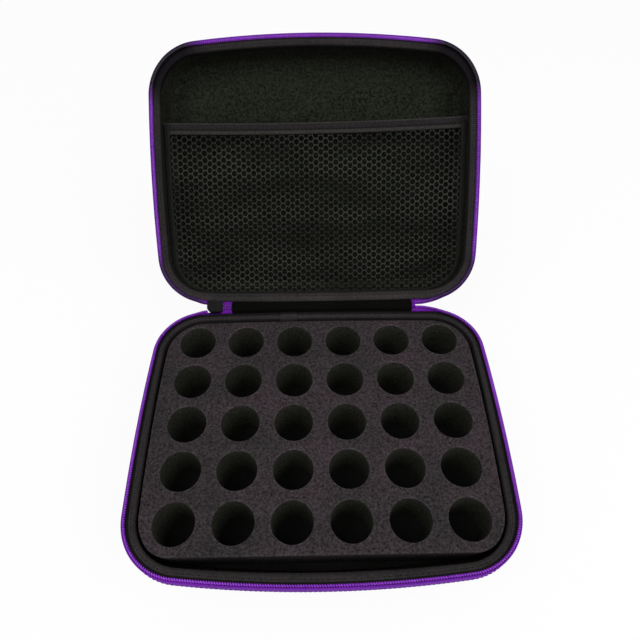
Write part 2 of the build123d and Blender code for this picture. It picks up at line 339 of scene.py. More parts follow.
def unit_rows(rows):
    """Rows of vectors, each brought to length 1."""
    return rows / np.linalg.norm(rows, axis=1)[:, None]


def sweep(name, distances, profile, half, material, vary):
    """Sweeps a closed profile of (inset, z) along the outline. vary shapes it from place to place."""
    profile = np.asarray(profile, float)
    stations, outward = along_outline(distances)
    points = []
    for distance, station, direction in zip(distances, stations, outward):
        shaped = vary(profile, distance)
        points.append(np.column_stack([station - shaped[:, :1] * direction, shaped[:, 1]]))
    uv = [(distance, reach) for distance in distances for reach in line_lengths(profile)]
    faces = ring_faces(len(stations), len(profile))
    return piece(name, PLACES[half](np.vstack(points)), faces, material, uv)


def spaced(start, end, step):
    """Evenly spaced distances from start to end, about a step apart."""
    return np.linspace(start, end, max(2, int(round(abs(end - start) / step)) + 1))


def round_angles(count):
    """Angles spaced evenly round a circle."""
    return np.linspace(0, 2 * np.pi, count, endpoint=False)


def clamp(value):
    """The value, kept between 0 and 1."""
    return min(1.0, max(0.0, value))


def waver(x, y, seed, size):
    """Smooth noise from about -1 to 1, with features about as large as size."""
    return noise.noise(Vector((x / size, y / size, seed * 7.31)))


def tube(centres, radius, across, normal, first=0):
    """Points and faces of a round tube about a line of points with known side directions."""
    sides = 6
    angles = round_angles(sides)[None, :, None]
    spokes = np.cos(angles) * across[:, None, :] + np.sin(angles) * normal[:, None, :]
    rings = centres[:, None, :] + radius * spokes
    return rings.reshape(-1, 3), ring_faces(len(centres), sides, first)


def line_frames(line):
    """Two directions square to a line of points, at each of its points."""
    tangent = unit_rows(np.gradient(line, axis=0))
    guide = np.array([0, 0, 1.0]) if abs(tangent[:, 2]).max() < 0.9 else np.array([0, 1.0, 0])
    across = unit_rows(np.cross(tangent, guide))
    return across, np.cross(across, tangent)


def many_tubes(name, lines, radius, material, place=None):
    """One piece of many short threads, each a line of points."""
    points = []
    faces = []
    total = 0
    for line in lines:
        rings, quads = tube(line, radius, *line_frames(line), total)
        points.append(rings)
        faces.extend(quads)
        total += len(rings)
    stacked = np.vstack(points)
    return piece(name, PLACES[place](stacked) if place else stacked, faces, material)


def stitch_lines(distances, reach, out, height, arch_out=0.0, arch_up=0.0):
    """Lines for stitches along the outline, which arch out or up between their sunk ends."""
    share = np.linspace(-1, 1, 5)
    arch = 1 - share**4
    lines = []
    for distance in distances:
        stations, outward = along_outline(distance + reach * share)
        spots = stations + outward * (out + arch_out * arch)[:, None]
        lines.append(np.column_stack([spots, height + arch_up * arch]))
    return lines


# Materials.


class Nodes:
    """A material's node tree, with short calls for the nodes that the finishes share."""

    def __init__(self, name):
        self.material = bpy.data.materials.new(name)
        self.material.use_nodes = True
        self.tree = self.material.node_tree
        self.shader = self.tree.nodes["Principled BSDF"]
        self.coordinates = self.node("ShaderNodeTexCoord")

    def link(self, source, target):
        self.tree.links.new(source, target)

    def node(self, kind, **settings):
        made = self.tree.nodes.new(kind)
        for key, value in settings.items():
            setattr(made, key, value)
        return made

    def put(self, socket, value):
        if isinstance(value, bpy.types.NodeSocket):
            self.link(value, socket)
        else:
            socket.default_value = value

    def texture(self, kind, size, where=None, **values):
        """A texture with features of this size in millimetres, on the object's own coordinates."""
        made = self.node(kind)
        made.inputs["Scale"].default_value = 1 / (size * MM)
        for key, value in values.items():
            made.inputs[key].default_value = value
        self.link(where or self.coordinates.outputs["Object"], made.inputs["Vector"])
        return made

    def noise(self, size, detail=2.0, roughness=0.5, where=None):
        made = self.texture("ShaderNodeTexNoise", size, where, Detail=detail, Roughness=roughness)
        return made.outputs["Fac"]

    def cells(self, size):
        return self.texture("ShaderNodeTexVoronoi", size).outputs["Distance"]

    def map_parts(self):
        """The cloth map's two lengths: along the piece and across it."""
        parts = self.node("ShaderNodeSeparateXYZ")
        self.link(self.coordinates.outputs["UV"], parts.inputs[0])
        return parts.outputs[0], parts.outputs[1]

    def sums(self, operation, first, second=0.0):
        made = self.node("ShaderNodeMath", operation=operation)
        self.put(made.inputs[0], first)
        self.put(made.inputs[1], second)
        return made.outputs[0]

    def times(self, first, second):
        return self.sums("MULTIPLY", first, second)

    def total(self, *shares):
        """The sum of some values, each times its share."""
        result = self.times(*shares[0])
        for value, share in shares[1:]:
            result = self.sums("ADD", result, self.times(value, share))
        return result

    def spread(self, factor, low, high):
        """From low to high as the factor goes from 0 to 1."""
        return self.sums("ADD", self.times(factor, high - low), low)

    def mix(self, factor, first, second):
        made = self.node("ShaderNodeMix", data_type="RGBA")
        self.put(made.inputs["Factor"], factor)
        self.put(made.inputs["A"], first)
        self.put(made.inputs["B"], second)
        return made.outputs["Result"]

    def ramp(self, value, low, high):
        """0 to 1 as the value goes from low to high."""
        made = self.node("ShaderNodeMapRange", clamp=True)
        self.put(made.inputs["Value"], value)
        made.inputs["From Min"].default_value = low
        made.inputs["From Max"].default_value = high
        return made.outputs["Result"]

    def span(self, length, low, high):
        """0 to 1 as a length goes from low to high, given in millimetres."""
        return self.ramp(length, low * MM, high * MM)

    def weave(self, pitch):
        """Height of a plain weave, its threads over and under each other, on the cloth's own map."""
        phases = [self.times(part, math.pi / (pitch * MM)) for part in self.map_parts()]
        ribs = [self.sums("ABSOLUTE", self.sums("SINE", phase)) for phase in phases]
        both = self.times(*[self.sums("COSINE", phase) for phase in phases])
        over = self.sums("GREATER_THAN", both, 0.0)
        return self.total((ribs[0], over), (ribs[1], self.sums("SUBTRACT", 1.0, over)))

    def bump(self, height, strength, distance):
        made = self.node("ShaderNodeBump")
        made.inputs["Strength"].default_value = strength
        made.inputs["Distance"].default_value = distance * MM
        self.link(height, made.inputs["Height"])
        self.link(made.outputs["Normal"], self.shader.inputs["Normal"])

    def finish(self, colour, roughness, gloss=0.5):
        self.put(self.shader.inputs["Base Color"], colour)
        self.put(self.shader.inputs["Roughness"], roughness)
        self.shader.inputs["Specular IOR Level"].default_value = gloss
        return self.material


def srgb(*parts):
    """A colour given as it looks on a screen, from 0 to 255, as the shader's numbers."""
    linear = [((part / 255 + 0.055) / 1.055) ** 2.4 if part > 10 else part / 255 / 12.92 for part in parts]
    return (*linear, 1.0)


def painted_fold_shade(n, colour, sewn, rolled):
    """Painted shade: the colour deepened on a binding's sewn outer edge beside the coil, and where it rolls
    over to the inside.
    """
    along, reach = n.map_parts()
    # edge is the painted shade on the sewn edge and roll the painted shade on the rolled inner side; sewn
    # and rolled set how strong each is.
    edge = n.times(n.span(reach, 4.6, 3.9), sewn)
    roll = n.times(n.span(reach, 4.6, 9.0), rolled)
    return n.mix(n.sums("MAXIMUM", edge, roll), colour, srgb(8, 7, 7))


def painted_corner_shade(n, colour, strengths, inside=None):
    """Painted shade: the colour deepened round the corners, at the back and in front, and only as far as
    inside.
    """
    fade = 9
    along, reach = n.map_parts()
    back, front = strengths
    painted_shade_share = 0.0
    for arc, strength in ((1, back), (3, front), (6, front), (8, back)):
        half_arc = ARC_LENGTHS[arc] / 2
        for turn in (0, OUTLINE_LENGTH):
            middle = ARC_STARTS[arc] + half_arc + turn
            away = n.sums("ABSOLUTE", n.sums("SUBTRACT", along, middle * MM))
            near = n.times(n.span(away, half_arc + fade, half_arc - fade), strength)
            painted_shade_share = n.sums("MAXIMUM", near, painted_shade_share)
    if inside:
        painted_shade_share = n.times(painted_shade_share, n.span(reach, inside + 0.5, inside - 0.5))
    # The corners are painted towards a deep purple, as painted shade where the zip and binding turn away
    # from the light.
    return n.mix(painted_shade_share, colour, srgb(7, 2, 11))


def woven_cloth(name, colours, pitch, slub, depth, roughness=0.85, gloss=0.12, corners=(), fold=()):
    """Woven cloth that follows its own map, with uneven yarns, slubs and worn patches, and painted shade
    round its corners and in its folds where asked.
    """
    n = Nodes(name)
    weave = n.weave(pitch)
    yarn = n.noise(slub, 3.0, 0.7)
    patches = n.noise(34.0, 3.0)
    flecks = (n.ramp(yarn, 0.34, 0.66), 0.45)
    shade = n.total((n.ramp(weave, 0.0, 1.0), 0.3), flecks, (n.ramp(patches, 0.35, 0.65), 0.25))
    n.bump(n.total((weave, 1.0), (yarn, 0.6)), 0.7, depth)
    colour = n.mix(shade, *colours)
    if corners:
        colour = painted_corner_shade(n, colour, corners, tape_inner_reach)
    if fold:
        colour = painted_fold_shade(n, colour, *fold)
    return n.finish(colour, n.spread(patches, roughness - 0.08, roughness + 0.1), gloss)


def grain_cloth(name, colours, grain, depth, roughness=0.8, gloss=0.15):
    """Close cloth bonded to a moulded wall: a fine even grain, and soft marks from handling."""
    n = Nodes(name)
    marks = n.noise(46.0, 4.0)
    height = n.total((n.cells(grain), 0.8), (n.noise(grain * 2.2, 4.0), 0.7))
    shade = n.total((n.ramp(height, 0.2, 1.0), 0.55), (n.ramp(marks, 0.35, 0.65), 0.45))
    n.bump(height, 0.6, depth)
    return n.finish(n.mix(shade, *colours), n.spread(marks, roughness - 0.1, roughness + 0.1), gloss)


def foam_material(name, deep, warm, cool, lift):
    """Cut open-cell foam: pores and speckle in charcoal and brownish purple."""
    n = Nodes(name)
    fine = n.noise(1.0, 3.0, 0.75)
    specks = n.noise(1.7, 3.0, 0.75)
    bright = n.mix(n.ramp(n.noise(42.0), 0.35, 0.65), warm, cool)
    shade = n.total((n.ramp(specks, 0.35, 0.67), 0.65), (n.ramp(fine, 0.35, 0.67), 0.35))
    n.bump(n.sums("ADD", n.cells(0.9), fine), 0.8, 0.35)
    return n.finish(n.mix(n.sums("ADD", shade, lift), deep, bright), n.spread(specks, 0.86, 1.0), 0.08)


def nylon_material(name, colours, corners=()):
    """Dyed nylon coil: a little glossy, a little uneven in dye, with painted shade round the corners where
    asked.
    """
    n = Nodes(name)
    dye = n.noise(2.4)
    shade = n.total((dye, 0.5), (n.noise(60.0), 0.5))
    n.bump(dye, 0.15, 0.1)
    colour = n.mix(n.ramp(shade, 0.35, 0.65), *colours)
    if corners:
        colour = painted_corner_shade(n, colour, corners)
    return n.finish(colour, n.spread(dye, 0.28, 0.42), 0.25)


def painted_metal():
    """Black paint on zinc, with thin scuffs that show a little brighter."""
    n = Nodes("slider_paint")
    scuffs = n.ramp(n.noise(1.1, 5.0, 0.7), 0.6, 0.72)
    haze = n.noise(5.0, 3.0)
    n.bump(haze, 0.2, 0.08)
    return n.finish(n.mix(scuffs, srgb(8, 7, 7), srgb(28, 26, 25)), n.spread(haze, 0.5, 0.7), 0.1)


def thread_material(name, colours):
    """Twisted sewing thread."""
    n = Nodes(name)
    twist = n.noise(0.5)
    n.bump(twist, 0.5, 0.1)
    return n.finish(n.mix(twist, *colours), n.spread(twist, 0.5, 0.75), 0.15)


def lining_material():
    """Linen-like lining, with painted shade on the front wall, at the floor's edge and on the floor behind
    the pocket.
    """
    n = Nodes("lining_linen")
    along, reach = n.map_parts()
    on_wall = n.sums("GREATER_THAN", reach, -lining_floor_shift / 2 * MM)
    from_front = n.sums("ABSOLUTE", n.sums("SUBTRACT", along, OUTLINE_LENGTH / 2 * MM))
    # Painted shade on the walls, most at the front and on the upper wall.
    front = n.spread(n.span(from_front, half_width + 10, half_width - 30), 0.1, 1.0)
    painted_wall_shade = n.times(n.spread(n.span(reach, 0, -14), 0.55, 1.0), front)
    back = n.sums("ADD", reach, lining_floor_shift * MM)
    # Painted shade on the floor near its edge, and a painted shadow of the net on the floor behind the
    # pocket.
    inner = 0.75
    for place, side in ((along, half_width), (back, half_depth)):
        inset = n.sums("SUBTRACT", side * MM, n.sums("ABSOLUTE", place))
        inner = n.times(inner, n.span(inset, -8, 38))
    pocket = half_depth - hem_from_back - hem_width
    painted_net_shadow = n.span(back, pocket - 4, pocket + 4)
    painted_floor_shade = n.sums("MAXIMUM", n.sums("SUBTRACT", 0.85, inner), painted_net_shadow)
    weave = n.weave(0.9)
    slubs = n.noise(2.1, 3.0, 0.8)
    patches = n.noise(40.0, 3.0)
    threads = (n.ramp(weave, 0.0, 1.2), 0.1)
    shade = n.total((n.ramp(slubs, 0.37, 0.63), 0.75), threads, (n.ramp(patches, 0.35, 0.65), 0.15))
    # The linen's own colour, and a darker copy of it that is the painted shade.
    linen_colour = n.mix(shade, srgb(3, 4, 1), srgb(46, 49, 41))
    painted_shade_linen = n.mix(shade, srgb(3, 4, 1), srgb(29, 32, 25))
    n.bump(n.sums("ADD", weave, slubs), 0.7, 0.2)
    colour = n.mix(n.mix(on_wall, painted_floor_shade, painted_wall_shade), linen_colour, painted_shade_linen)
    return n.finish(colour, n.spread(patches, 0.82, 1.0), 0.06)


def net_material():
    """Knitted yarn with a faint sheen, in slanting drifts of painted light and painted shade, like lit and
    shaded wrinkles.
    """
    n = Nodes("net_yarn")
    lean = n.node("ShaderNodeMapping")
    lean.inputs["Rotation"].default_value = (0, 0, math.radians(-38))
    lean.inputs["Scale"].default_value = (0.35, 1.0, 1.0)
    n.link(n.coordinates.outputs["UV"], lean.inputs["Vector"])
    # Painted light and shade, in slanting drifts.
    painted_light_drifts = n.ramp(n.noise(26.0, where=lean.outputs["Vector"]), 0.36, 0.64)
    yarn = n.noise(0.5)
    n.bump(yarn, 0.5, 0.1)
    colour = n.mix(n.total((painted_light_drifts, 0.75), (yarn, 0.25)), srgb(12, 12, 11), srgb(54, 55, 51))
    return n.finish(colour, n.spread(yarn, 0.55, 0.75), 0.15)


def hem_material():
    """Ribbed elastic: a rolled edge on each side painted paler, as painted light on their crowns, and a
    darker middle with its sewn groove.
    """
    n = Nodes("hem_elastic")
    along, reach = n.map_parts()
    edge = n.sums("MAXIMUM", n.span(reach, 3.3, 2.9), n.span(reach, 8.0, 8.4))
    ribs = n.sums("SINE", n.times(reach, 2 * math.pi / (0.9 * MM)))
    wear = n.noise(1.6, 3.0, 0.7)
    worn = n.ramp(wear, 0.3, 0.7)
    middle = n.mix(worn, srgb(18, 16, 17), srgb(37, 34, 36))
    # The rolled edges' paler colour is painted light.
    rolled = n.mix(worn, srgb(32, 31, 29), srgb(54, 52, 50))
    n.bump(n.total((ribs, 0.3), (wear, 1.0)), 0.6, 0.15)
    return n.finish(n.mix(edge, middle, rolled), n.spread(n.noise(30.0), 0.7, 0.9), 0.12)


# Each finish goes from its dark colour to its light one.
tape_colours = (srgb(88, 18, 136), srgb(122, 36, 174))
coil_colours = (srgb(120, 30, 178), srgb(158, 68, 218))
core_colours = (srgb(70, 14, 108), srgb(94, 24, 136))
chain_colours = (srgb(92, 22, 134), srgb(122, 48, 168))
binding_colours = (srgb(24, 22, 22), srgb(64, 59, 60))
black_colours = (srgb(4, 4, 4), srgb(14, 13, 13))

binding_finish = {}
tape_finish = {}
coil_finish = {}
core_finish = {}
# For each half: strength of painted corner shade for the zip, then for the binding, each at the back and in
# front; then of painted shade on the binding's sewn edge and on its rolled inner side.
for half, label, zip_corner_shade, corners, fold in (
    ("base", "zip", (), (), (0.85, 0.62)),
    ("lid", "lid", (0.85, 1.0), (0.0, 0.9), (0.0, 0.7)),
):
    binding_finish[half] = woven_cloth(
        f"{half}_binding_weave", binding_colours, pitch=0.8, slub=1.8, depth=0.16,
        roughness=0.75, gloss=0.1, corners=corners, fold=fold,
    )
    tape_finish[half] = woven_cloth(
        f"{label}_tape_weave", tape_colours, pitch=0.7, slub=1.4, depth=0.15,
        roughness=0.7, corners=zip_corner_shade,
    )
    coil_finish[half] = nylon_material(f"{label}_coil_nylon", coil_colours, zip_corner_shade)
    core_finish[half] = nylon_material(f"{label}_coil_core", core_colours, zip_corner_shade)
chain_finish = nylon_material("closed_chain_nylon", chain_colours)
purple_thread = thread_material("purple_thread", tape_colours)
black_thread = thread_material("black_thread", black_colours)
metal_finish = painted_metal()
lining_finish = lining_material()
net_finish = net_material()
hem_finish = hem_material()
shell_finish = grain_cloth("shell_cloth", (srgb(22, 22, 24), srgb(44, 44, 46)), grain=0.7, depth=0.15)
pad_finish = grain_cloth(
    "pad_foam", (srgb(14, 14, 13), srgb(30, 29, 28)), grain=1.2, depth=0.3, roughness=0.95, gloss=0.08,
)
hinge_finish = woven_cloth(
    "hinge_weave", (srgb(2, 3, 1), srgb(13, 13, 11)), pitch=0.8, slub=1.8, depth=0.18,
    roughness=0.9, gloss=0.04,
)
net_tape_finish = woven_cloth(
    "net_tape", (srgb(16, 16, 15), srgb(35, 35, 32)), pitch=0.7, slub=1.6, depth=0.15,
)
# The second foam is a lighter copy, a painted highlight on the rounded cut edges; the third is a darker,
# greener copy, painted shade on the walls of the wells.
foam_finish = foam_material("foam_cut", srgb(2, 2, 2), srgb(77, 67, 72), srgb(66, 62, 64), lift=0.02)
rim_painted_highlight = foam_material("foam_rim_painted_highlight", srgb(6, 5, 5), srgb(80, 71, 76), srgb(71, 67, 69), lift=0.09)
well_painted_shade = foam_material("foam_well_painted_shade", srgb(9, 10, 7), srgb(66, 65, 58), srgb(57, 58, 50), lift=0.0)


def paint_nodes(material, *nodes):
    """Gives CAD pieces that keep their shape a finish."""
    for name in nodes:
        for slot in frame["nodes"][name].material_slots:
            slot.material = material


paint_nodes(shell_finish, "base_shell", "lid_shell")
paint_nodes(metal_finish, "zip_slider", "zip_pull")


# Linings.


def lining_profile(height, draft):
    """The lined inside from just under the binding down the wall and round to the floor."""
    floor = height - lining_inset
    radius = floor_edge_radius - lining_inset
    slope = math.atan2(draft, height - rim_band)
    turn = math.pi / 2 - slope
    tangent = radius * math.tan(turn / 2)
    straight = floor - rim_band - tangent * math.cos(slope)
    depths = (0.6, rim_band / 2, rim_band, rim_band + 0.35 * straight, rim_band + 0.7 * straight)
    profile = [(wall_inset(height, draft, lining_inset, depth), -depth) for depth in depths]
    centre = (wall_inset(height, draft, lining_inset, floor) + tangent, radius - floor)
    for angle in np.linspace(math.pi + slope, 1.5 * math.pi, 9):
        profile.append((centre[0] + radius * math.cos(angle), centre[1] + radius * math.sin(angle)))
    return profile


def lining(half, height, draft):
    """Cloth lining: walls swept round the outline, with a floor that fills them in rings."""
    profile = lining_profile(height, draft)
    count = len(profile)
    across = line_lengths(profile)
    wall = float(across[-1])
    distances = np.linspace(0, OUTLINE_LENGTH, 260, endpoint=False)
    stations, outward = along_outline(distances)
    points = []
    uv = []
    for distance, station, direction in zip(distances, stations, outward):
        for (inset, z), reach in zip(profile, across):
            lift = lining_ripple * waver(distance, z * 3, 2, 9.0)
            points.append((*(station - direction * (inset + lift)), z))
            uv.append((distance, reach - wall))
    faces = grid_faces(len(stations), count, close_rows=True)
    loop = list(range(count - 1, len(points), count))
    edge = np.array([points[i][:2] for i in loop])
    # The first ring lies close by the walls, so that the map's jump to the floor doesn't show.
    rings = 14
    for share in [0.997] + [1 - ring / rings for ring in range(1, rings)] + [0.0]:
        first = len(points)
        for x, y in edge * share if share else np.zeros((1, 2)):
            dip = lining_dip * waver(x, y, 5, 30.0) * (1 - share)
            points.append((x, y, profile[-1][1] + dip))
            uv.append((x, y - lining_floor_shift))
        following = list(range(first, len(points)))
        for i, here in enumerate(loop):
            j = (i + 1) % len(loop)
            faces.append((here, loop[j], following[j], following[i]) if share else (here, loop[j], first))
        loop = following
    obj = piece(f"{half}_lining_cloth", PLACES[half](points), faces, lining_finish, uv)
    thicken(obj, lining_cloth)
    seat(obj, half, "lining_fabric", f"{half}_lining")


lining("base", base_rim, base_inner_draft)
lining("lid", lid_height, lid_draft)


# Bindings.

# Profiles go round a piece's section as (inset from the outline, height over the rim).
BINDING_PROFILE = [
    (0.05, 0.0), (-0.05, 0.45), (0.2, 0.9), (1.0, 1.15), (2.4, 1.25), (3.8, 1.25), (5.3, 1.15),
    (6.5, 0.85), (7.1, 0.3), (7.25, -0.5), (7.1, -2.4), (6.75, -4.4), (6.5, -4.9), (6.05, -4.9),
    (5.9, -4.3), (5.85, -1.5), (5.7, -0.1), (4.5, 0.1), (1.0, 0.1),
]
binding_inner = 6.0
binding_step = 1.3
front_bulge = 1.5
back_pinch = 1.0
lap_rise = 0.5
lap_overhang = 0.45
lap_step = 0.7
pucker_pitch = 5.2
binding_stitch_pitch = 3.4


def puckered(seed, bulge=0.0, pinch=0.0):
    """Small puckers between stitches, and an inner edge that waves, bulges in front and draws in behind."""
    def vary(profile, distance):
        shaped = np.array(profile)
        inset, height = profile.T
        pucker = math.sin(2 * math.pi * distance / pucker_pitch + 2.2 * waver(distance, 0, seed, 21.0))
        slow = waver(distance, 0, seed + 3, 26.0)
        turn = math.cos(2 * math.pi * (distance / OUTLINE_LENGTH - 0.5))
        front = max(0.0, turn) ** 3
        back = min(1.0, 2 * max(0.0, -turn))
        skin = (inset > binding_inner + 0.4) & (height > -4.5)
        shaped[skin, 0] -= pinch * back * np.clip((inset[skin] - binding_inner) / 1.2, 0, 1)
        shaped[height > 0.4, 1] += 0.1 * pucker + 0.22 * slow
        shaped[(inset > binding_inner) & (height < 0.5), 0] += 0.18 * slow + 0.08 * pucker + bulge * front
        return shaped
    return vary


def binding(half, seed):
    """Tape folded over a rim, whose ends meet under a short lap."""
    start = distance_at_x((lap_low.x + lap_high.x) / 2)
    distances = spaced(start, start + OUTLINE_LENGTH, binding_step)
    vary = puckered(seed, front_bulge, back_pinch) if half == "base" else puckered(seed)
    obj = sweep(f"{half}_binding_tape", distances, BINDING_PROFILE, half, binding_finish[half], vary)
    seat(obj, half, "binding_fabric", f"{half}_binding")


def binding_lap(half, seed):
    """The binding's overlapping end, one layer higher, reaching a little further in."""
    left, right = (distance_at_x(corner.x / MM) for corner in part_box(f"{half}_binding_lap"))
    lap = np.array(BINDING_PROFILE)
    lap[lap[:, 1] > 0.3, 1] += lap_rise
    lap[lap[:, 0] > binding_inner, 0] += lap_overhang
    distances = spaced(left, right, lap_step)
    obj = sweep(f"{half}_binding_lap_end", distances, lap, half, binding_finish[half], puckered(seed))
    seat(obj, half, "binding_fabric", f"{half}_binding_lap")


def binding_stitches(half):
    """A row of stitches along the middle of the binding's top."""
    row = np.arange(0, OUTLINE_LENGTH, binding_stitch_pitch)
    lines = stitch_lines(row, reach=1.15, out=-4.7, height=1.13, arch_up=0.18)
    seat(many_tubes(f"{half}_binding_stitches", lines, 0.2, black_thread, half), half, "binding_fabric")


for seed, half in enumerate(HALVES):
    binding(half, 11 + seed)
    binding_lap(half, 31 + seed)
    binding_stitches(half)


# Zip.

TAPE_PROFILE = [
    (-0.05, -tape_below_rim), (-0.1, -tape_below_rim / 2), (-0.1, 0.2), (-0.05, 1.6), (0.0, tape_above_rim),
    (-0.35, tape_above_rim + 0.15), (-0.8, tape_above_rim - 0.1), (-0.9, 1.6), (-0.85, 0.0),
    (-0.8, -tape_below_rim / 2), (-0.75, -tape_below_rim + 0.3), (-0.4, -tape_below_rim - 0.1),
]
tape_step = 1.6
tape_stitch_pitch = 3.0
core_sides = 8
turn_steps = 12


def lean_out(distance):
    """How far the zip's free edge leans outward where both sides draw together at its ends."""
    leans = []
    for gap, draw, length in (
        (distance - zip_start - end_run, end_draw, end_draw_length),
        (zip_end - distance, slider_draw, slider_draw_length),
    ):
        share = clamp(1 - gap / length)
        leans.append(draw * share * share * (3 - 2 * share))
    return max(leans)


def zip_tape(half, seed):
    """The woven tape outside a rim. It stays under the rim from the slider to the hinge."""
    def vary(profile, distance):
        shaped = np.array(profile)
        shaped[:, 0] -= 0.1 * abs(waver(distance, 0, seed, 18.0))
        shaped[:, 0] -= lean_out(distance) * np.clip(shaped[:, 1] / tape_above_rim, 0, 1)
        if distance > zip_end:
            shaped[:, 1] = np.minimum(shaped[:, 1], -0.1)
        return shaped

    beside_zip = spaced(zip_start, zip_end, tape_step)
    distances = np.concatenate([beside_zip, spaced(zip_end + 0.1, tape_end, tape_step)])
    obj = sweep(f"{half}_tape", distances, TAPE_PROFILE, half, tape_finish[half], vary)
    seat(obj, half, "zip_tape_fabric", f"{half}_zip_tape")
    row = np.arange(zip_start + 2, tape_end - 2, tape_stitch_pitch)
    lines = stitch_lines(row, reach=1.0, out=0.86, height=1.4 - tape_below_rim, arch_out=0.08)
    seat(many_tubes(f"{half}_tape_stitches", lines, 0.16, purple_thread, half), half, "zip_tape_fabric")


def wound_coil(line, across, upward, wide, high):
    """A monofilament wound about a line in flat turns, as points with their side directions."""
    lengths = line_lengths(line)
    turns = int(lengths[-1] / coil_pitch)
    phase = np.linspace(0, turns, turns * turn_steps + 1)
    where = phase / turns * lengths[-1]
    middle, side, rise = (along_line(track, lengths, where) for track in (line, across, upward))
    cosine = np.cos(2 * np.pi * phase)[:, None]
    sine = np.sin(2 * np.pi * phase)[:, None]
    path = middle + side * (wide / 2 - coil_thread) * cosine + rise * (high / 2 - coil_thread) * sine
    tangent = unit_rows(np.gradient(path, axis=0))
    sideways = unit_rows(np.cross(tangent, side * cosine + rise * sine))
    return path, np.cross(sideways, tangent), sideways


def zip_coil(half):
    """One side's coil along the tape's free edge: a core with the monofilament wound round it."""
    distances = spaced(zip_start, zip_end, 1.0)
    count = len(distances)
    stations, outward = along_outline(distances)
    wide = coil_widths[half]
    inset = np.array([wide / 2 - lean_out(distance) for distance in distances])
    stations = stations - outward * inset[:, None]
    line = np.column_stack([stations, np.full(count, coil_top - coil_height / 2)])
    across = np.column_stack([outward, np.zeros(count)])
    upward = np.tile([0, 0, 1.0], (count, 1))
    path, normal, sideways = wound_coil(line, across, upward, wide, coil_height)
    rings, faces = tube(path, coil_thread, normal, sideways)
    wound = len(faces)
    sink = 1.1 * coil_thread
    core = []
    for angle in round_angles(core_sides):
        reach = (wide / 2 - sink) * math.cos(angle)
        core.append(line + across * reach + upward * (coil_height / 2 - sink) * math.sin(angle))
    core = np.stack(core, 1).reshape(-1, 3)
    faces += ring_faces(count, core_sides, len(rings), capped=False)
    sides = len(rings) // len(path)
    uv = np.zeros((len(rings) + len(core), 2))
    ring_distances = np.repeat(np.linspace(zip_start, zip_end, len(path)), sides)
    uv[:, 0] = np.concatenate([ring_distances, np.repeat(distances, core_sides)])
    obj = piece(f"{half}_coil", PLACES[half](np.vstack([rings, core])), faces, coil_finish[half], uv)
    obj.data.materials.append(core_finish[half])
    for face in obj.data.polygons[wound:]:
        face.material_index = 1
    seat(obj, half, "zip_coil_nylon", f"{half}_zip_coil")


for seed, half in enumerate(HALVES):
    zip_tape(half, 51 + seed)
    zip_coil(half)


def closed_chain():
    """The closed stretch behind the slider: both coils meshed, on their two tapes."""
    xs = spaced(chain_left, hinge_left, 0.5)
    count = len(xs)
    points = []
    faces = []
    total = 0
    for side in (-1.0, 1.0):
        line = np.column_stack([xs, np.full(count, -0.45), np.full(count, side * 1.25)])
        across = np.tile([0, 0, side], (count, 1))
        upward = np.tile([0, -1.0, 0], (count, 1))
        path, normal, sideways = wound_coil(line, across, upward, chain_width, chain_height)
        rings, quads = tube(path, coil_thread, normal, sideways, total)
        points.append(rings)
        faces += quads
        total += len(rings)
    obj = piece("closed_chain", on_hinge(np.vstack(points)), faces, chain_finish)
    seat(obj, "slider", "zip_coil_nylon", "zip_closed_chain")


def end_tack():
    """A tack of purple thread, wound round where the two sides meet at the zip's far end."""
    radius = 0.3
    low, high = cad_corners("zip_end_stop")
    middle = (low + high) / 2
    reach = (high - low) / 2 - Vector((0, radius, radius))
    turns = np.linspace(0, 2 * np.pi, 17)
    rounded_y, rounded_z = (np.sign(wave) * np.abs(wave) ** 0.6 for wave in (np.cos(turns), np.sin(turns)))
    lines = []
    for x in spaced(low.x + radius, high.x - radius, 0.5):
        onward = x + 0.25 * turns / (2 * np.pi)
        loop = [onward, middle.y + reach.y * rounded_y, middle.z + reach.z * rounded_z]
        lines.append(np.column_stack(loop))
    seat(many_tubes("end_tack", lines, radius, purple_thread), "base", "zip_tape_fabric", "zip_end_stop")


def folded_strip(name, xs, rows, outside, shares, rise, material, thickness):
    """Cloth from the base's back wall over the gap to the lid's, with rows of points on each wall.

    outside gives its distance from a wall at a height, and rise how far it bulges into the gap
    at a share of the way over. Returns the piece, its lines of points and where the gap starts and ends.
    """
    inward = np.array([0, -math.cos(open_angle / 2), math.sin(open_angle / 2)])
    columns = []
    uv = []
    for x in xs:
        y = along_outline([distance_at_x(x)])[0][0][1]
        base_side = on_base([(x, y + outside(z), z) for z in rows])
        lid_side = on_lid([(x, y + outside(z), z) for z in reversed(rows)])
        over = lid_side[0] - base_side[-1]
        folds = [base_side[-1] + over * share + inward * rise(x, share) for share in shares]
        columns.append(np.vstack([base_side, folds, lid_side]))
        uv += [(x, reach) for reach in line_lengths(columns[-1])]
    count = len(columns[0])
    obj = piece(name, np.vstack(columns), grid_faces(len(xs), count), material, uv)
    thicken(obj, thickness)
    ends = [Vector((0, *(columns[0][i][1:] * MM))) for i in (len(rows) - 1, count - len(rows))]
    return obj, columns, ends


def chain_tape():
    """The zip's own tapes beside the closed stretch, drawn over the gap from the base's back wall to the
    lid's.
    """
    rows = (-7.0, -4.0, -1.0, 1.6, 3.2)
    xs = spaced(slider_high.x - 2.0, hinge_left, 0.9)

    def outside(z):
        return 0.5 + 0.5 * (z > 2)

    def rise(x, share):
        return 0.0

    obj, columns, ends = folded_strip(
        "chain_tape", xs, rows, outside, (0.25, 0.5, 0.75), rise, tape_finish["base"], tape_cloth,
    )
    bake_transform(obj)


closed_chain()
end_tack()
chain_tape()


# Hinge fabric.

hinge_thickness = 0.6
hinge_stitch_pitch = 3.2
hinge_stitch_heights = (-7.6, -2.0)


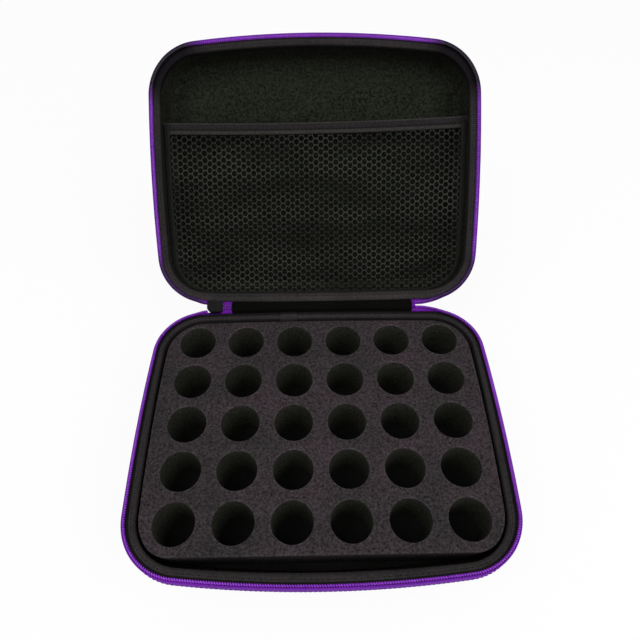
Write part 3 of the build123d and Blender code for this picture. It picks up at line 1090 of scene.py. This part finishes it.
def hinge_fabric():
    """One folded strip from the base's back wall over the gap to the lid's, in three soft pleats."""
    rows = (-9.0, -6.0, -3.0, 0.0, 2.2, 3.3)
    xs = spaced(hinge_left, hinge_right, 1.8)

    def outside(z):
        return 0.45

    def rise(x, share):
        crease = abs(math.sin(3 * math.pi * share)) ** 0.6
        bulge = (1.1 + 0.9 * crease) * math.sin(math.pi * share) ** 0.5
        return bulge + 0.3 * waver(x, share * 30, 71, 16.0)

    shares = np.linspace(0.08, 0.92, 19)
    obj, columns, ends = folded_strip(
        "hinge_cloth", xs, rows, outside, shares, rise, hinge_finish, hinge_thickness,
    )
    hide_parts("hinge_flap_base", "hinge_flap_lid", "hinge_gusset")
    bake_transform(obj)


def hinge_stitches(half):
    """Two rows of stitches that hold the hinge to a back wall."""
    row = np.arange(distance_at_x(hinge_left) + 2, distance_at_x(hinge_right) - 2, hinge_stitch_pitch)
    lines = []
    for height in hinge_stitch_heights:
        lines += stitch_lines(row, reach=1.1, out=0.715, height=height, arch_out=0.205)
    seat(many_tubes(f"{half}_hinge_stitches", lines, 0.2, black_thread, half), half, "hinge_fabric")


hinge_fabric()
for half in HALVES:
    hinge_stitches(half)


# Foam.


def foam_outline(inset, count):
    """The foam block's plan as a closed line: the tub's own outline, cut straight in front."""
    stations, outward = along_outline(np.linspace(0, OUTLINE_LENGTH, 1600, endpoint=False))
    set_back = foam_high.y - (half_depth - foam_side_inset)
    extra = inset - foam_side_inset
    line = stations - outward * inset + [0, set_back]
    front = foam_low.y + extra
    return round_front(line[line[:, 1] >= front], front, foam_corner_radius - extra, count)


def round_front(line, front, radius, count):
    """Joins the line's two ends by a straight front with an arc at each corner."""
    right = line[line[:, 0] >= 0]
    right = right[np.argsort(-np.unwrap(np.arctan2(right[:, 1], right[:, 0])))]
    centre_y = front + radius
    inner = offset_line(right, radius)
    crossing = int(np.argmin(np.abs(inner[:, 1] - centre_y) + 1e3 * (inner[:, 1] > 0)))
    centre = np.array([inner[crossing][0], centre_y])
    touch = right[crossing] - centre
    angles = np.linspace(math.atan2(touch[1], touch[0]), -math.pi / 2, 24)
    arc = centre + radius * np.column_stack([np.cos(angles), np.sin(angles)])
    half = np.vstack([right[:crossing], arc])
    closed = np.vstack([half, np.flipud(half) * [-1, 1], half[:1]])
    lengths = line_lengths(closed)
    return along_line(closed, lengths, np.linspace(0, lengths[-1], count, endpoint=False))


def offset_line(line, distance):
    """The line moved to its right by a distance."""
    tangent = unit_rows(np.gradient(line, axis=0))
    return line + np.column_stack([tangent[:, 1], -tangent[:, 0]]) * distance


def well_ring(x, y, radius, count, seed, size):
    """A cut circle, a little uneven by size, as a blade leaves it in foam."""
    ring = []
    for angle in round_angles(count):
        uneven = radius + size * waver(math.cos(angle) * 10, math.sin(angle) * 10, seed, 11.0)
        ring.append((x + uneven * math.cos(angle), y + uneven * math.sin(angle)))
    return ring


def flat_faces(points, loops):
    """Triangles that fill the first loop, less the others. Each loop is its first point and its count."""
    order = [first + i for first, count in loops for i in range(count)]
    flat = [[Vector((*points[first + i][:2], 0)) for i in range(count)] for first, count in loops]
    return [tuple(order[i] for i in triangle) for triangle in tessellate_polygon(flat)]


def foam_block():
    """The block with its wells: one closed form with softly rounded cut edges."""
    outer_count = 420
    well_count = 72
    top = foam_high.z
    height = foam_high.z - foam_low.z
    radius = well_diameter / 2
    middle_y = foam_high.y - foam_back_wall - radius - (well_rows - 1) * well_pitch_y / 2
    seat_depth = base_rim - foam_low.z
    seat_clearance = 0.3
    uneven_edge = 0.25
    uneven_wall = 0.3
    low_inset = float(wall_inset(base_rim, base_inner_draft, lining_inset + foam_seat_gap, seat_depth))
    seat_inset = low_inset + foam_high.y - (half_depth - foam_side_inset) + seat_clearance
    edge = []
    for angle in np.linspace(0, math.pi / 2, 5):
        away = foam_edge_radius * (1 - math.sin(angle))
        edge.append((away, top - foam_edge_radius * (1 - math.cos(angle))))
    points = []
    faces = []
    top_loops = []
    bottom_loops = []

    def add_wall(rings, count):
        first = len(points)
        for ring, z in rings:
            points.extend((x, y, z) for x, y in ring)
        faces.extend(ring_faces(len(rings), count, first, capped=False))
        top_loops.append((first, count))
        bottom_loops.append((len(points) - count, count))

    rings = [(foam_outline(foam_side_inset + away, outer_count), z) for away, z in edge]
    for share in (0.35, 0.7, 1.0):
        inset = foam_side_inset + (seat_inset - foam_side_inset) * share
        rings.append((foam_outline(inset, outer_count), top - height * share))
    add_wall(rings, outer_count)
    outer_end = len(points)
    for row in range(well_rows):
        for column in range(well_columns):
            x = (column - (well_columns - 1) / 2) * well_pitch_x
            y = (row - (well_rows - 1) / 2) * well_pitch_y + middle_y
            seed = row * well_columns + column
            rings = []
            for away, z in edge:
                rings.append((well_ring(x, y, radius + away, well_count, seed, uneven_edge), z))
            for share in (0.25, 0.6, 1.0):
                ring = well_ring(x, y, radius, well_count, seed + 50 * share, uneven_wall)
                rings.append((ring, top - height * share))
            add_wall(rings, well_count)
    for loops in (top_loops, bottom_loops):
        faces.extend(flat_faces(points, loops))
    obj = piece("foam_block", np.array(points), faces, foam_finish)
    obj.data.materials.append(rim_painted_highlight)
    obj.data.materials.append(well_painted_shade)
    # The rounded top edges take the painted highlight, and the walls of the wells the painted shade.
    edge_z = (top - foam_edge_radius * 1.02) * MM
    for face in obj.data.polygons:
        heights = [obj.data.vertices[i].co.z for i in face.vertices]
        if max(heights) - min(heights) > 0.02 * MM:
            in_well = min(face.vertices) >= outer_end
            face.material_index = 1 if min(heights) > edge_z else 2 if in_well else 0
    obj.data.set_sharp_from_angle(angle=math.radians(40))
    seat(obj, "base", "charcoal_foam", "bottle_foam_left", "bottle_foam_right")


def floor_pad():
    """The thin foam pad on the floor, with rounded edges."""
    count = 300
    inset = half_width - pad_high.x
    edge = 1.2
    stations, outward = along_outline(np.linspace(0, OUTLINE_LENGTH, count, endpoint=False))
    rings = [(edge, pad_low.z), (0.2, pad_low.z + 0.5), (0, (pad_low.z + pad_high.z) / 2)]
    rings += [(0.25, pad_high.z - 0.5), (edge, pad_high.z)]
    points = []
    for away, z in rings:
        points.extend((x, y, z) for x, y in stations - outward * (inset + away))
    faces = ring_faces(len(rings), count, capped=False)
    for first in (0, len(points) - count):
        faces.extend(flat_faces(points, [(first, count)]))
    obj = piece("floor_pad", np.array(points), faces, pad_finish)
    obj.data.set_sharp_from_angle(angle=math.radians(50))
    seat(obj, "base", "pad_foam", "foam_floor_pad")


foam_block()
floor_pad()


# Pocket. back is the distance from the lid's back edge.

NET_EDGE_DISTANCES = np.linspace(0, OUTLINE_LENGTH, 1400, endpoint=False)
NET_EDGE_POINTS, NET_EDGE_OUTWARD = along_outline(NET_EDGE_DISTANCES)
net_wall = float(wall_inset(lid_height, lid_draft, lining_inset, net_depth))


def hem_low_edge(x):
    """How far from the lid's back edge the hem's lower edge hangs: it sags, most left of the middle."""
    return hem_from_back - 2.7 + 1.6 * (x / half_width) + 2.4 * (x / half_width) ** 2


def net_relief(x, back):
    """How far the net stands proud of its plane: slanting wrinkles that rise to the right."""
    slant = (x - 0.9 * back) / 30.0
    ridges = math.sin(2 * math.pi * slant / 1.5 + 2.0 * waver(x, back, 81, 70.0))
    fade = min(clamp((hem_low_edge(x) - back) / 25.0), clamp((back - 8.0) / 25.0))
    reach = clamp((half_width - 12.0 - abs(x)) / 18.0)
    return (ridges + 1.9 * waver(x, back, 83, 48.0)) * min(fade + 0.25, 1.0) * reach


def inside_outline(x, y, inset):
    """Whether a point lies inside the outline drawn in by inset, and the nearest point on it."""
    line = NET_EDGE_POINTS - NET_EDGE_OUTWARD * inset
    away = np.array([x, y]) - line
    nearest = int(np.argmin(np.hypot(away[:, 0], away[:, 1])))
    return away[nearest] @ NET_EDGE_OUTWARD[nearest] <= 0, line[nearest]


def hexagon_shares():
    """Twelve points round a six-sided cell, its corners and their midpoints, as shares of its half sizes."""
    corners = [(1, 0), (0.5, 1), (-0.5, 1), (-1, 0), (-0.5, -1), (0.5, -1)]
    shares = []
    for this, following in zip(corners, corners[1:] + corners[:1]):
        shares.append(this)
        shares.append(((this[0] + following[0]) / 2, (this[1] + following[1]) / 2))
    return shares


def clean_net(mesh):
    """Takes slivers and loose points out of the net, and returns its yarn's area."""
    made = bmesh.new()
    made.from_mesh(mesh)
    bmesh.ops.dissolve_degenerate(made, dist=0.02 * MM, edges=made.edges)
    loose = [vertex for vertex in made.verts if not vertex.link_faces]
    bmesh.ops.delete(made, geom=loose, context="VERTS")
    borders = sum(edge.calc_length() for edge in made.edges if edge.is_boundary)
    yarn_area = sum(face.calc_area() for face in made.faces) + borders * net_thickness * MM / 2
    made.to_mesh(mesh)
    made.free()
    mesh.polygons.foreach_set("use_smooth", [True] * len(mesh.polygons))
    return yarn_area


def pocket_net(trim):
    """The knitted net: six-sided cells with round holes, wrinkled, in one piece of yarn."""
    half_wide = net_column_pitch * 2 / 3
    half_high = net_cell_pitch / 2
    hole_wide = half_wide - net_thread / 2 - 0.1
    hole_high = half_high - net_thread / 2
    yarn_crown = 0.16
    yarn_sink = 0.05
    slip_size = 0.5
    shares = hexagon_shares()
    columns = int(half_width / net_column_pitch) + 1
    rows = int(2 * half_depth / net_cell_pitch) + 1
    found = {}
    points = []
    faces = []

    def vertex(x, back, puff, shared=False):
        key = (round(x * 20), round(back * 20))
        if shared and key in found:
            return found[key]
        slip = waver(x, back, 85, 13.0), waver(x, back, 87, 13.0)
        x += slip_size * slip[0]
        back += slip_size * slip[1]
        inside, nearest = inside_outline(x, half_depth - back, net_wall + 0.3)
        if not inside:
            x = nearest[0]
            back = half_depth - nearest[1]
        back = min(back, hem_low_edge(x) + 3.0)
        points.append((x, half_depth - back, -net_depth - net_drop + net_relief(x, back) + puff))
        if shared:
            found[key] = len(points) - 1
        return len(points) - 1

    for column in range(-columns, columns + 1):
        for row in range(rows):
            x = column * net_column_pitch
            back = (row + (column % 2) / 2) * net_cell_pitch
            inside, nearest = inside_outline(x, half_depth - back, net_wall)
            if back > hem_low_edge(x) + 1.0 or not inside:
                continue
            outer = []
            inner = []
            for wide, high in shares:
                angle = math.atan2(high * math.sqrt(3) / 2, wide)
                corner = (x + wide * half_wide, back + high * half_high)
                hole = (x + hole_wide * math.cos(angle), back + hole_high * math.sin(angle))
                outer.append(vertex(*corner, yarn_crown, shared=True))
                inner.append(vertex(*hole, -yarn_sink))
            for i in range(len(outer)):
                j = (i + 1) % len(outer)
                faces.append((outer[i], outer[j], inner[j], inner[i]))
    uv = [point[:2] for point in points]
    obj = piece("net", on_lid(points), faces, net_finish, uv)
    yarn_area = clean_net(obj.data)
    thicken(obj, net_thickness)
    seat(obj, "lid", "net_yarn", "pocket_net")


HEM_PROFILE = [
    (0.0, 0.2), (0.5, 0.75), (1.3, 0.85), (2.4, 0.75), (2.9, 0.4), (3.3, 0.3), (4.5, 0.3), (5.0, 0.45),
    (6.8, 0.5), (7.4, 0.4), (7.8, 0.75), (8.5, 0.8), (9.0, 0.3), (8.8, -0.35), (5.0, -0.45), (0.3, -0.35),
]


def hem_spot(x, along, lift):
    """A point of the hem: along it from its lower edge, and lifted off its plane."""
    back = hem_low_edge(x) + along
    ripple = hem_ripple * waver(x, along, 91, 22.0)
    return (x, half_depth - back, -net_depth + hem_lift + lift + ripple)


def hem_ends():
    """Where the hem meets the lid's side walls."""
    y = half_depth - hem_from_back - hem_width / 2
    line = NET_EDGE_POINTS - NET_EDGE_OUTWARD * (net_wall - 0.4)
    xs = line[np.abs(line[:, 1] - y) < 2.0, 0]
    return float(xs.min()), float(xs.max())


def pocket_hem():
    """The elastic band: a rolled lower edge, a sewn groove, a ribbed middle and a folded top edge."""
    left, right = hem_ends()
    xs = spaced(left, right, 1.2)
    points = []
    for x in xs:
        gather = 0.08 * math.sin(2 * math.pi * x / 2.6)
        points += [hem_spot(x, along, lift + gather * (2.0 < along < 7.0)) for along, lift in HEM_PROFILE]
    uv = [(x, reach) for x in xs for reach in line_lengths(HEM_PROFILE)]
    obj = piece("hem", on_lid(points), ring_faces(len(xs), len(HEM_PROFILE)), hem_finish, uv)
    seat(obj, "lid", "hem_elastic", "pocket_hem")
    lines = []
    for x in np.arange(left + 2, right - 2, hem_stitch_pitch):
        shares = np.linspace(-1, 1, 5)
        line = [hem_spot(x + 0.95 * share, hem_stitch_line, 0.3 + 0.15 * (1 - share**4)) for share in shares]
        lines.append(np.array(line))
    seat(many_tubes("hem_stitches", lines, 0.45, black_thread, "lid"), "lid", "hem_elastic")
    return obj


def pocket_edge_tape():
    """The dark tape over the net's border and the hem's ends, narrower along the hinge edge."""
    kept = NET_EDGE_POINTS[:, 1] > half_depth - hem_from_back - hem_width + 3
    limit = NET_EDGE_DISTANCES[kept & (NET_EDGE_POINTS[:, 0] > 0)].max()
    profile = [(0.0, 0.6), (0.7, 1.0), (0.95, 0.8), (1.0, 0.35), (0.9, 0.15), (0.0, 0.1)]

    def vary(profile, distance):
        along_side = clamp((abs(distance) - half_width * 0.7) / 50.0)
        width = edge_tape_width * (0.35 + 0.75 * along_side) + 0.25 * waver(distance, 0, 95, 15.0)
        rise = clamp(1 - (limit - abs(distance) - hem_width) / 12.0)
        return np.column_stack([
            net_wall - 0.3 + profile[:, 0] * width,
            profile[:, 1] - net_depth - net_drop + edge_tape_rise * rise,
        ])

    obj = sweep("net_edge_tape", spaced(-limit, limit, 1.8), profile, "lid", net_tape_finish, vary)
    return seat(obj, "lid", "hem_elastic", "pocket_edge_tape")


pocket_net([pocket_hem(), pocket_edge_tape()])


# Floor, light and camera.


def white_when_seen(tree, lit, white, target, share=1.0):
    """Shows the white shader to the camera and in reflections, by a share, and the lit one to the rest."""
    path = tree.nodes.new("ShaderNodeLightPath")
    seen = tree.nodes.new("ShaderNodeMath")
    seen.operation = "MAXIMUM"
    part = tree.nodes.new("ShaderNodeMath")
    part.operation = "MULTIPLY"
    part.inputs[1].default_value = share
    both = tree.nodes.new("ShaderNodeMixShader")
    tree.links.new(path.outputs["Is Camera Ray"], seen.inputs[0])
    tree.links.new(path.outputs["Is Glossy Ray"], seen.inputs[1])
    tree.links.new(seen.outputs[0], part.inputs[0])
    for source, socket in zip((part, lit, white), both.inputs):
        tree.links.new(source.outputs[0], socket)
    tree.links.new(both.outputs[0], target.inputs["Surface"])


def backdrop():
    """A pale floor that looks white to the camera and keeps the case's soft shadow."""
    reach = 6.0
    mesh = bpy.data.meshes.new("floor")
    corners = [(-reach, -reach, 0), (reach, -reach, 0), (reach, reach, 0), (-reach, reach, 0)]
    mesh.from_pydata(corners, [], [(0, 1, 2, 3)])
    floor = bpy.data.objects.new("floor", mesh)
    floor.location.z = -0.2 * MM
    bpy.context.scene.collection.objects.link(floor)
    n = Nodes("floor_paper")
    grain = n.noise(3.0, 3.0)
    n.bump(grain, 0.05, 0.2)
    n.finish(n.mix(grain, (0.86, 0.86, 0.86, 1), (0.9, 0.9, 0.9, 1)), 0.9)
    glow = n.node("ShaderNodeEmission")
    glow.inputs["Color"].default_value = (1, 1, 1, 1)
    glow.inputs["Strength"].default_value = 1.0
    white_when_seen(n.tree, n.shader, glow, n.tree.nodes["Material Output"], 0.92)
    mesh.materials.append(n.material)


def studio_light():
    """A pale world and two large soft lamps, at a level where colours look as written."""
    world = bpy.data.worlds.new("studio")
    bpy.context.scene.world = world
    world.use_nodes = True
    tree = world.node_tree
    ambient = tree.nodes["Background"]
    white = tree.nodes.new("ShaderNodeBackground")
    for background, strength in ((ambient, 0.5), (white, 1.0)):
        background.inputs["Color"].default_value = (1, 1, 1, 1)
        background.inputs["Strength"].default_value = strength
    white_when_seen(tree, ambient, white, tree.nodes["World Output"])
    aim = Vector((0, 0.05, 0.04))
    for name, place, power in (("key", (-0.5, -0.35, 1.3), 7.0), ("fill", (0.7, -0.5, 1.0), 7.2)):
        lamp = bpy.data.lights.new(name, "AREA")
        lamp.shape = "SQUARE"
        lamp.size = 0.9
        lamp.energy = power
        obj = bpy.data.objects.new(name, lamp)
        bpy.context.scene.collection.objects.link(obj)
        obj.location = place
        obj.rotation_euler = (aim - Vector(place)).to_track_quat("-Z", "Y").to_euler()


def camera():
    """The photograph's view."""
    picture = 640
    focal_pixels = 537.07
    sensor = 36.0
    spot = Vector((-2.83, -155.46, 354.4 + foam_high.z)) * MM
    yaw, tilt, roll = (math.radians(angle) for angle in (0.95, 54.77, 0.05))
    forward = Vector((math.sin(yaw) * math.cos(tilt), math.cos(yaw) * math.cos(tilt), -math.sin(tilt)))
    level = Vector((math.cos(yaw), -math.sin(yaw), 0))
    down = forward.cross(level)
    right = level * math.cos(roll) + down * math.sin(roll)
    down = down * math.cos(roll) - level * math.sin(roll)
    lens = bpy.data.cameras.new("camera")
    lens.sensor_width = sensor
    lens.lens = focal_pixels / picture * sensor
    lens.clip_start = 0.01
    obj = bpy.data.objects.new("camera", lens)
    bpy.context.scene.collection.objects.link(obj)
    turn = Matrix((right, -down, -forward)).transposed()
    obj.matrix_world = Matrix.Translation(spot) @ turn.to_4x4()
    bpy.context.scene.camera = obj


backdrop()
studio_light()
camera()
bpy.context.scene.view_settings.view_transform = "Standard"
